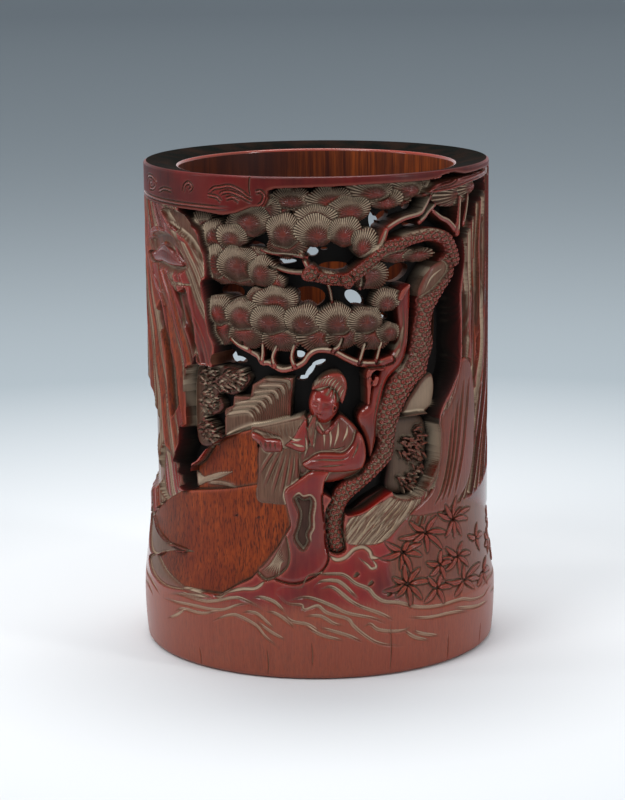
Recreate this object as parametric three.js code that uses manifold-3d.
// Carved bamboo brush pot, in millimetres, +Z up, standing on z = 0, its main scene facing -Y
import * as THREE from "three";
import { mergeVertices } from "three/addons/utils/BufferGeometryUtils.js";
import Module from "manifold-3d";

const wasm = await Module();
wasm.setup();

// Driving sizes of the pot
const HEIGHT = 160;
const MOUTH_RADIUS = 56.5;
const FOOT_SWELL = 2.5;
const FOOT_SWELL_HEIGHT = 16;
const FOOT_SWELL_TOP = 46;
const FOOT_TUCK = 0.9;
const WALL = 11.5;
const MOUTH_FALL = 1.8;
const LIP_ROUND = 0.8;
const BASE_ROUND = 1.6;

// Floor let in from below, and the pins on its joint line
const FLOOR_THICKNESS = 6;
const FLOOR_RECESS = 1;
const REBATE_WIDTH = 3;
const CLEARANCE = 0.3;
const PIN_COUNT = 4;
const PIN_RADIUS = 1.2;
const PIN_LENGTH = 4.5;
const PIN_START_ANGLE = Math.PI / 4;

// How deep the carving goes below the culm's own surface
const GROUND_DEPTH = 9;
const CARVED_BACK = 10.2;
const PAD_CREST_DEPTH = 2;
const PAD_EDGE_DEPTH = 4.6;
const HEAD_CREST_DEPTH = 0.3;
const HEAD_EDGE_DEPTH = 3.4;

// The drawing that the carver laid on the culm: its radius and height
const DRAWING_RADIUS = 56.5;
const DRAWING_HEIGHT = 160;

// The back carries the mirrored drawing in low relief
const BACK_TURN = Math.PI;
const BACK_GROUND_DEPTH = 2.4;

const ROUND_STEPS = 48;
const PIN_SIDES = 10;
const WINDOW_SIDES = 8;
const PAD_SIDES = 8;

// How far a cutter reaches past the surfaces that it passes through
const BEYOND = 1;

const INNER_RADIUS = MOUTH_RADIUS - WALL;
const CUTTER_INSIDE = INNER_RADIUS / 2;
const CUTTER_OUTSIDE = 3 * MOUTH_RADIUS;
const CUTTER_SLACK = 2;
const REBATE_RADIUS = INNER_RADIUS + REBATE_WIDTH;
const FLOOR_TOP = FLOOR_RECESS + FLOOR_THICKNESS;

// Every place below is [across, up] in millimetres on the unrolled drawing, across from its middle

// Areas cut away, the ground behind the pine being the deepest: [depth, outline]
const POCKETS = {
  ground: [GROUND_DEPTH, [
    [-50, 147.5], [-31, 147.3], [-26, 148.3], [-21.4, 150.2], [-16.5, 150.6], [-15.2, 155.6], [0, 156.7],
    [20, 157.3], [40, 157.2], [44, 155], [39, 153.3], [60, 154.5], [75, 155.8], [74.5, 149.8], [66, 147],
    [61, 141], [57, 137.6], [55, 130], [52.5, 120], [53.2, 108], [52.6, 97], [48.5, 90], [42.6, 82.5],
    [42, 68], [39.5, 63], [34.5, 58], [26, 60], [17, 57], [9, 53.5], [2, 64], [-4, 66], [-9, 62],
    [-20, 61], [-21, 79.5], [-31, 77], [-38, 73], [-46, 66], [-46, 58], [-52, 57.5], [-56, 65], [-52, 72],
    [-49, 78], [-48.6, 90], [-43, 101], [-36, 99], [-35, 105.5], [-37, 110], [-39.4, 122], [-38.2, 128],
    [-40, 137], [-41.6, 141.8], [-46, 144],
  ]],
  smooth_slab: [2.5, [
    [-70, 43], [-60, 50.5], [-53, 56.5], [-46, 58.6], [-30, 61.4], [-10, 62.4], [-11, 56.5], [-10, 50],
    [-13, 45], [-17, 38], [-20, 34], [-25, 30], [-33, 25.5], [-50, 25], [-62, 30], [-55, 35], [-60, 37.5],
    [-66, 39],
  ]],
  upper_slab: [3.4, [
    [-47.4, 66.2], [-42.4, 70.4], [-38.4, 74.6], [-31.4, 78.4], [-20.3, 80.9], [-19.3, 61.2], [-30, 60.1],
    [-47.2, 58.2],
  ]],
  cliff_sheet: [2.5, [
    [-61.5, 147], [-51, 147], [-42.4, 141.5], [-40.3, 136.6], [-38.6, 131], [-43, 135], [-47, 138.5],
    [-54, 141.5],
  ]],
  cliff_hollow: [2.2, [
    [-72, 133], [-66, 139], [-58, 140.5], [-52, 137], [-46, 129], [-52, 125], [-60, 125.5], [-68, 129],
  ]],
  cliff_wedge: [3, [
    [-57, 125], [-52, 121.5], [-47, 123], [-43, 108], [-43.5, 102], [-46.5, 108], [-50, 113],
  ]],
  left_gully: [2.6, [[-64, 118], [-60, 113], [-56, 102], [-53, 88], [-57, 80], [-60, 100], [-66, 112]]],
  side_recess: [2.8, [
    [-98, 86], [-75, 87], [-68, 80], [-64, 76], [-67, 68], [-65, 58], [-72, 52], [-84, 48], [-98, 55],
  ]],
  near_gully: [2.2, [[55, 118], [58, 119], [57.5, 100], [54, 88], [51, 84], [53, 95]]],
  middle_gully: [2.2, [[60, 125], [64, 130], [63, 110], [61, 98], [58.5, 88], [60, 105]]],
  far_gully: [2.8, [
    [67, 140], [72, 142], [71, 120], [68, 100], [65, 85], [62, 68], [58, 58], [61, 72], [65, 95],
    [67, 115],
  ]],
  rock_shoulder: [1.5, [[47, 75], [50, 79], [49, 70], [45, 58], [41, 53], [44, 62]]],
  leafy_slope: [0.6, [
    [24, 25], [21, 38], [27, 50], [40, 52], [52, 53], [60, 50], [66, 30], [62, 20], [40, 20.5],
  ]],
  pillar_hollow: [1.2, [
    [-8.5, 58.5], [-6.5, 60], [-2.8, 59.5], [-1.7, 57.5], [-2.2, 49.5], [-3, 44.5], [-5, 41.8],
    [-8.5, 45.5], [-7.5, 51],
  ]],
};

// Openings right through the wall: [across, up, half width, half height, tilt in degrees]
const WINDOWS = [
  [-1.8, 135.8, 2.3, 1.5, 0], [-12.2, 132.2, 4.8, 0.9, 3], [13.8, 120, 3.9, 2, -28],
  [19.6, 122.4, 2, 0.8, 0], [21.2, 144.5, 1.6, 2.9, 15], [27, 144.6, 4.4, 1.6, 0],
  [26.3, 113, 1.8, 1.2, -10], [-34, 101.4, 2, 1.8, -20], [-31.2, 100.4, 3.4, 1, -3],
  [-6.9, 103.2, 2.2, 1.2, 0], [-2.6, 98.3, 5, 0.9, 38], [6, 131.2, 5.6, 1.4, 0],
  [-3.5, 121.6, 6.5, 3.3, 0], [34.5, 127, 4.6, 2.6, 15], [38.3, 147, 2.4, 1.5, 0],
  [40, 141.3, 6.5, 0.9, 6], [-23, 137.5, 4, 1.2, -10], [-33, 122.3, 5, 2.2, 0], [48.3, 108, 2.2, 7, -4],
];

// Openings of the back, each on a line of sight down through one of the front
const BACK_WINDOWS = [
  [-1.8, 121.7, 3, 3, 0], [-13.1, 116.7, 7.2, 3.7, 0], [17.5, 105.3, 7.7, 5.2, 0],
  [22.5, 132.5, 5.3, 4.4, 0], [27.8, 97.9, 6.2, 2.9, 0], [-33.4, 85.9, 7.7, 4.2, 0], [-7.2, 85, 3.6, 3, 0],
  [-2, 79.9, 7.5, 3, 40], [9.1, 85.2, 3, 2.2, 0],
];

// Forms that stand on the ground: [depth of their face, outline]
const FORMS = {
  trunk: [1.8, [
    [40.6, 130.4], [45, 132.8], [51.4, 134.2], [52.6, 129.4], [50.4, 124.2], [44.6, 119], [40.9, 111.8],
    [41.4, 105], [38.8, 97], [34.2, 93], [30.8, 89], [28, 83], [26, 75], [24.6, 69.6], [16, 62],
    [10, 56.2], [5, 56], [6, 62.6], [14, 67.4], [19, 74], [20, 84], [22, 92], [28, 97], [31.2, 104],
    [33.2, 112], [34.4, 121], [36, 126],
  ]],
  smooth_limb: [3, [
    [27.5, 121], [31, 125], [33.5, 123], [32, 112], [31.5, 104], [28.4, 96.6], [22, 91], [20, 80],
    [17, 72], [15, 78], [14, 85], [17, 90], [16, 96], [19, 100], [24, 102], [27, 109],
  ]],
  branch: [1.2, [
    [52, 136], [47, 139.8], [40, 141.7], [33, 141.5], [27, 140.3], [23, 139.5], [22.5, 143], [19.5, 137.5],
    [14, 134], [10, 130.8], [4, 130.3], [-1, 132.5], [-5.5, 135.7], [-4.8, 127.8], [2, 127], [9, 124.6],
    [13, 129], [19, 133], [24, 135], [33, 137.3], [40, 137.5], [46, 135.5], [50, 131.5],
  ]],
  right_twigs: [2.6, [
    [41.5, 147.6], [46, 145.6], [50, 144.2], [54.2, 141], [54.7, 149.4], [56.9, 149.6], [56.6, 139.5],
    [54, 137.9], [49.6, 142.2], [45.6, 143.9], [41.5, 146.2],
  ]],
  upper_twig: [2.4, [
    [23, 142.8], [29, 146.3], [36, 147.3], [37.6, 151], [38.6, 148], [37, 145.8], [30, 144.6], [24, 140],
  ]],
  lower_twigs: [3.6, [
    [26, 102.5], [20, 101.3], [13, 102.3], [7, 104.9], [0, 107.3], [-5, 103], [-9, 101], [-13, 100.6],
    [-17, 102.2], [-20, 102.6], [-25, 106.5], [-28, 108.8], [-28, 107], [-25, 103.8], [-20, 100.8],
    [-15, 98.5], [-11, 97.7], [-6, 99.2], [-1, 103.6], [5, 103], [12, 100.1], [20, 99.6], [25, 100],
  ]],
  terrace_rock: [4.8, [
    [-34.8, 76], [-34.8, 85], [-31.2, 86.4], [-30.8, 89.6], [-24.2, 90], [-23.4, 93.8], [-19, 96.2],
    [-8.4, 96.6], [-9.2, 90], [-9.6, 84],
  ]],
  pale_rock: [5, [[27, 84], [29, 91], [33, 93.5], [38, 97], [40, 94], [38.5, 88], [35, 83], [30, 81]]],
  stones: [4.4, [[25, 66], [25, 75], [27, 82], [39, 81.5], [40, 73], [38.5, 65.5], [34, 59.5], [27, 58]]],
  rock_wall: [5.4, [
    [-49.4, 74], [-49.4, 94], [-45, 98.7], [-33, 98.7], [-28, 97.8], [-24.4, 95.4], [-28.4, 91],
    [-31.6, 89.6], [-38, 89.4], [-35.6, 85.6], [-38.6, 82.8], [-45, 81], [-40, 78.6], [-36.4, 75.2],
    [-43, 71.4],
  ]],
};

// The seated figure: robe, arms and rock ledge
const FIGURE = {
  robe: [2.2, [[-20.6, 75], [-9, 77], [-7, 66], [-9, 61.5], [-20.7, 60.1]]],
  body: [3, [
    [-7, 80], [-4, 84.4], [0, 86], [4, 83], [7, 85], [10, 83.4], [13.4, 80], [15.2, 75], [15, 70],
    [12, 66], [5, 63], [-4, 65], [-9, 74],
  ]],
  resting_arm: [1.3, [
    [-5.6, 69.6], [0, 73.2], [8, 73.3], [11, 76], [12.6, 79.4], [14.7, 77.4], [15.6, 73], [15, 69],
    [12.4, 67], [-3, 66.6],
  ]],
  reaching_arm: [1.9, [
    [-22.8, 81], [-19, 81.6], [-11.4, 83.6], [-4.8, 85.4], [-3.6, 83.6], [-4, 77.4], [-9.6, 74.6],
    [-17.6, 73.4], [-20.4, 75.4], [-23, 78],
  ]],
};

// What the back shares with the front in low relief, and its own recess, which stops short of the front's
const BACK_FORMS = [FORMS.trunk, FORMS.smooth_limb, FORMS.branch];
const BACK_GULLIES = [
  POCKETS.cliff_sheet,
  POCKETS.cliff_hollow,
  POCKETS.cliff_wedge,
  POCKETS.left_gully,
  POCKETS.near_gully,
  POCKETS.middle_gully,
  POCKETS.far_gully,
  [POCKETS.side_recess[0], [
    [-87, 86], [-75, 87], [-68, 80], [-64, 76], [-67, 68], [-65, 58], [-72, 52], [-87, 47.5],
  ]],
];

// Rounded pads of needles: [across, up, half width, half height]
const PINE_PADS = [
  [-23, 146, 7, 4.8], [-30, 140.5, 5.5, 3.6], [-37, 140.5, 5, 4.5], [-27.5, 132, 7.5, 5],
  [-37, 132, 4.5, 5], [-18.5, 130, 4.6, 4.4], [-11, 143, 5.5, 4.8], [-0.5, 143, 6.3, 4.6],
  [9.5, 142.4, 5.4, 4.2], [16, 139.8, 4.5, 5], [-9, 153, 7, 3], [4, 153, 7, 3.3], [11, 149.3, 7, 3.6],
  [18, 154.6, 7.5, 2.8], [24, 151, 6, 3], [31, 154.6, 7, 2.8], [18, 128.5, 6, 4], [30, 133, 8, 2.5],
  [-14, 121.3, 7, 3.8], [-35, 117, 5.2, 4.3], [-26, 116.3, 5.8, 4.5], [-16.2, 115, 6.4, 4.1],
  [-4.6, 115.2, 6, 4.3], [6.2, 115.3, 6, 4.4], [16, 115.3, 5.6, 4.3], [23.5, 120, 5, 3.7],
  [24, 111.3, 4, 3.6], [-34, 110.2, 4.8, 3.8], [-25.1, 109.3, 6.3, 3.6], [-12.5, 108.6, 6.4, 3.4],
  [-1, 109, 5.5, 3.6], [9, 109, 5.6, 3.6], [19, 108.8, 6.2, 3.6], [38, 153.5, 5.5, 3.2],
  [55, 150.6, 10, 3.1],
];

// The figure's head and its knot of hair, drawn the same way
const HEAD = [1.8, 88.8, 5.2, 6.6];
const HAIR_KNOT = [5.8, 95, 3.2, 3];

// Leaf sprays cut into the slope: [across, up, reach, turn in degrees], each with this many blades
const LEAF_SPRAYS = [
  [28, 39.5, 7, 10], [36.5, 44.5, 7.5, 40], [28.5, 29, 7, 25], [50, 46, 8, 5], [50.5, 34, 7.5, 30],
  [53, 25, 8, 12], [39, 27, 6.5, 50],
];
const SPRAY_BLADES = 5;
const SPRAY_HUB = 0.2;

const finishes = {
  culm: new THREE.MeshStandardMaterial({ color: 0x6b2a1e, roughness: 0.35, metalness: 0 }),
  floor: new THREE.MeshStandardMaterial({ color: 0x7a4526, roughness: 0.6, metalness: 0 }),
  pin: new THREE.MeshStandardMaterial({ color: 0xa9763f, roughness: 0.6, metalness: 0 }),
};

// A geometry as a solid that can be joined and cut
function solid(geometry) {
  const bare = new THREE.BufferGeometry();
  const source = geometry.index ? geometry.toNonIndexed() : geometry;
  bare.setAttribute("position", source.getAttribute("position"));
  const merged = mergeVertices(bare, 1e-4);
  return new wasm.Manifold(
    new wasm.Mesh({
      numProp: 3,
      vertProperties: new Float32Array(merged.attributes.position.array),
      triVerts: new Uint32Array(merged.index.array),
    }),
  );
}

// A solid back as a named mesh
function mesh(name, shape, material) {
  const { vertProperties, triVerts } = shape.getMesh();
  const geometry = new THREE.BufferGeometry();
  geometry.setAttribute("position", new THREE.BufferAttribute(vertProperties, 3));
  geometry.setIndex(new THREE.BufferAttribute(triVerts, 1));
  geometry.computeVertexNormals();
  const made = new THREE.Mesh(geometry, material);
  made.name = name;
  return made;
}

// A closed profile of [radius, height] points turned about the pot's axis
function turned(profile, steps = ROUND_STEPS) {
  const points = profile.map(([radius, height]) => new THREE.Vector2(radius, height));
  const geometry = new THREE.LatheGeometry(points, steps);
  geometry.rotateX(Math.PI / 2);
  return solid(geometry);
}

// Outer radius at a height: straight above, an S-curve out to the swell, then tucked in at the foot
function outerRadius(height) {
  if (height < FOOT_SWELL_HEIGHT) {
    const drop = 1 - height / FOOT_SWELL_HEIGHT;
    return MOUTH_RADIUS + FOOT_SWELL - FOOT_TUCK * drop ** 2;
  }
  const rise = (height - FOOT_SWELL_HEIGHT) / (FOOT_SWELL_TOP - FOOT_SWELL_HEIGHT);
  return MOUTH_RADIUS + FOOT_SWELL * (1 - THREE.MathUtils.smoothstep(rise, 0, 1));
}

// Heights at which the curve of the swell is turned
const belowSwell = [0.5, 1].map((share) => share * FOOT_SWELL_HEIGHT);
const aboveSwell = [0.3, 0.7, 1].map((share) =>
  THREE.MathUtils.lerp(FOOT_SWELL_HEIGHT, FOOT_SWELL_TOP, share),
);
const swellHeights = [...belowSwell, ...aboveSwell];

// The culm before carving: a tube whose cut mouth falls inwards, rebated below for its floor
function tube() {
  const outside = swellHeights.map((height) => [outerRadius(height), height]);
  return turned([
    [REBATE_RADIUS, 0],
    [outerRadius(0) - BASE_ROUND, 0],
    [outerRadius(BASE_ROUND), BASE_ROUND],
    ...outside,
    [MOUTH_RADIUS, HEIGHT - LIP_ROUND],
    [MOUTH_RADIUS - LIP_ROUND, HEIGHT],
    [INNER_RADIUS + LIP_ROUND, HEIGHT - MOUTH_FALL],
    [INNER_RADIUS, HEIGHT - MOUTH_FALL - LIP_ROUND],
    [INNER_RADIUS, FLOOR_TOP + CLEARANCE],
    [REBATE_RADIUS, FLOOR_TOP + CLEARANCE],
    [REBATE_RADIUS, 0],
  ]);
}

// The layer of the culm between two depths below its surface, over its full height
const layers = new Map();
function layer(front, behind) {
  const key = `${front}/${behind}`;
  if (!layers.has(key)) {
    const heights = [-BEYOND, ...swellHeights, HEIGHT + BEYOND];
    const outside = heights.map((height) => [outerRadius(height) - front, height]);
    const inside = heights.map((height) => [outerRadius(height) - behind, height]).reverse();
    layers.set(key, turned([inside.at(-1), ...outside, ...inside]));
  }
  return layers.get(key);
}

// Where a drawing lies on the culm: the front scene, and its mirror image round the back
const frontScene = { side: 1, turn: 0 };
const backScene = { side: -1, turn: BACK_TURN };

// A geometry drawn as across, up and radius, wrapped round the culm
function wrapped(scene, geometry) {
  const place = geometry.attributes.position;
  for (let index = 0; index < place.count; index += 1) {
    const angle = scene.turn + place.getX(index) / DRAWING_RADIUS;
    const radius = place.getZ(index);
    const height = (place.getY(index) * HEIGHT) / DRAWING_HEIGHT;
    place.setXYZ(index, radius * Math.sin(angle), -radius * Math.cos(angle), height);
  }
  return solid(geometry);
}

// An outline of the drawing carried straight in and out from the axis, kept between two depths
function carvedOutline(scene, outline, front, behind) {
  const shape = new THREE.Shape(outline.map(([across, up]) => new THREE.Vector2(scene.side * across, up)));
  const radii = [
    CUTTER_INSIDE,
    MOUTH_RADIUS - behind - CUTTER_SLACK,
    MOUTH_RADIUS + FOOT_SWELL + CUTTER_SLACK,
    CUTTER_OUTSIDE,
  ];
  const steps = radii.length - 1;
  const geometry = new THREE.ExtrudeGeometry(shape, { depth: steps, steps, bevelEnabled: false });
  const place = geometry.attributes.position;
  for (let index = 0; index < place.count; index += 1) {
    place.setZ(index, radii[Math.round(place.getZ(index))]);
  }
  return wrapped(scene, geometry).intersect(layer(front, behind));
}

// A rounded pad: a low cone from its edge up to its crest, on a wall down to the back of the carving
function roundedPad([across, up, halfWidth, halfHeight], crest, edge) {
  const back = MOUTH_RADIUS - CARVED_BACK;
  const profile = [[0, back], [1, back], [1, MOUTH_RADIUS - edge], [0, MOUTH_RADIUS - crest]];
  const points = profile.map(([reach, radius]) => new THREE.Vector2(reach, radius));
  const pad = new THREE.LatheGeometry(points, PAD_SIDES);
  pad.rotateX(Math.PI / 2);
  pad.scale(halfWidth, halfHeight, 1);
  pad.translate(across, up, 0);
  return wrapped(frontScene, pad);
}

// An oval opening right through the wall
function windowCut(scene, [across, up, halfWidth, halfHeight, tilt]) {
  const turn = (tilt * Math.PI) / 180;
  const oval = new THREE.EllipseCurve(across, up, halfWidth, halfHeight, 0, 2 * Math.PI, false, turn);
  const outline = oval.getPoints(WINDOW_SIDES).slice(0, -1).map(({ x, y }) => [x, y]);
  return carvedOutline(scene, outline, -BEYOND, WALL + BEYOND);
}

// A spray of narrow leaves round one point
function sprayOutline([across, up, reach, turn]) {
  const outline = [];
  for (let index = 0; index < 2 * SPRAY_BLADES; index += 1) {
    const angle = (turn * Math.PI) / 180 + (index * Math.PI) / SPRAY_BLADES;
    const radius = index % 2 ? reach * SPRAY_HUB : reach;
    outline.push([across + radius * Math.cos(angle), up + radius * Math.sin(angle)]);
  }
  return outline;
}

// The culm with its deep front scene and the low relief round the back
function carved(blank) {
  const cut = (scene, depth, outline) => carvedOutline(scene, outline, -BEYOND, depth);
  const lowered = (depth) => (depth * BACK_GROUND_DEPTH) / GROUND_DEPTH;
  const cuts = Object.values(POCKETS).map(([depth, outline]) => cut(frontScene, depth, outline));
  cuts.push(...WINDOWS.map((opening) => windowCut(frontScene, opening)));
  cuts.push(cut(backScene, BACK_GROUND_DEPTH, POCKETS.ground[1]));
  cuts.push(...BACK_GULLIES.map(([depth, outline]) => cut(backScene, depth, outline)));

  const standing = [...Object.values(FORMS), ...Object.values(FIGURE)];
  const forms = standing.map(([depth, outline]) => carvedOutline(frontScene, outline, depth, CARVED_BACK));
  forms.push(...PINE_PADS.map((pad) => roundedPad(pad, PAD_CREST_DEPTH, PAD_EDGE_DEPTH)));
  forms.push(...[HEAD, HAIR_KNOT].map((lump) => roundedPad(lump, HEAD_CREST_DEPTH, HEAD_EDGE_DEPTH)));
  const sprays = LEAF_SPRAYS.map(sprayOutline);
  forms.push(...sprays.map((outline) => carvedOutline(frontScene, outline, -BEYOND, CARVED_BACK)));
  for (const [depth, outline] of BACK_FORMS) {
    forms.push(carvedOutline(backScene, outline, lowered(depth), CARVED_BACK));
  }

  let culm = blank;
  for (const shape of cuts) culm = culm.subtract(shape);
  for (const shape of forms) culm = culm.add(shape);
  for (const opening of BACK_WINDOWS) culm = culm.subtract(windowCut(backScene, opening));
  return culm.intersect(blank);
}

// An upright round bar on the joint line between the floor and the culm
function barOnJoint(index, radius, length, start) {
  const angle = PIN_START_ANGLE + (index * 2 * Math.PI) / PIN_COUNT;
  const joint = REBATE_RADIUS - CLEARANCE / 2;
  const bar = new THREE.CylinderGeometry(radius, radius, length, PIN_SIDES);
  bar.rotateX(Math.PI / 2);
  bar.translate(joint * Math.cos(angle), joint * Math.sin(angle), start + length / 2);
  return solid(bar);
}

const pinIndexes = Array.from({ length: PIN_COUNT }, (_, index) => index);
const pinHoles = pinIndexes.map((index) =>
  barOnJoint(index, PIN_RADIUS + CLEARANCE, FLOOR_RECESS + PIN_LENGTH + CLEARANCE, 0),
);

let culm = carved(tube());
let floor = turned([
  [0, FLOOR_RECESS],
  [REBATE_RADIUS - CLEARANCE, FLOOR_RECESS],
  [REBATE_RADIUS - CLEARANCE, FLOOR_TOP],
  [0, FLOOR_TOP],
]);
for (const hole of pinHoles) {
  culm = culm.subtract(hole);
  floor = floor.subtract(hole);
}

const pot = new THREE.Group();
pot.add(mesh("culm", culm, finishes.culm));
pot.add(mesh("floor_disc", floor, finishes.floor));
for (const index of pinIndexes) {
  const pin = barOnJoint(index, PIN_RADIUS, PIN_LENGTH, FLOOR_RECESS);
  pot.add(mesh(`seam_pin_${index + 1}`, pin, finishes.pin));
}

export default pot;
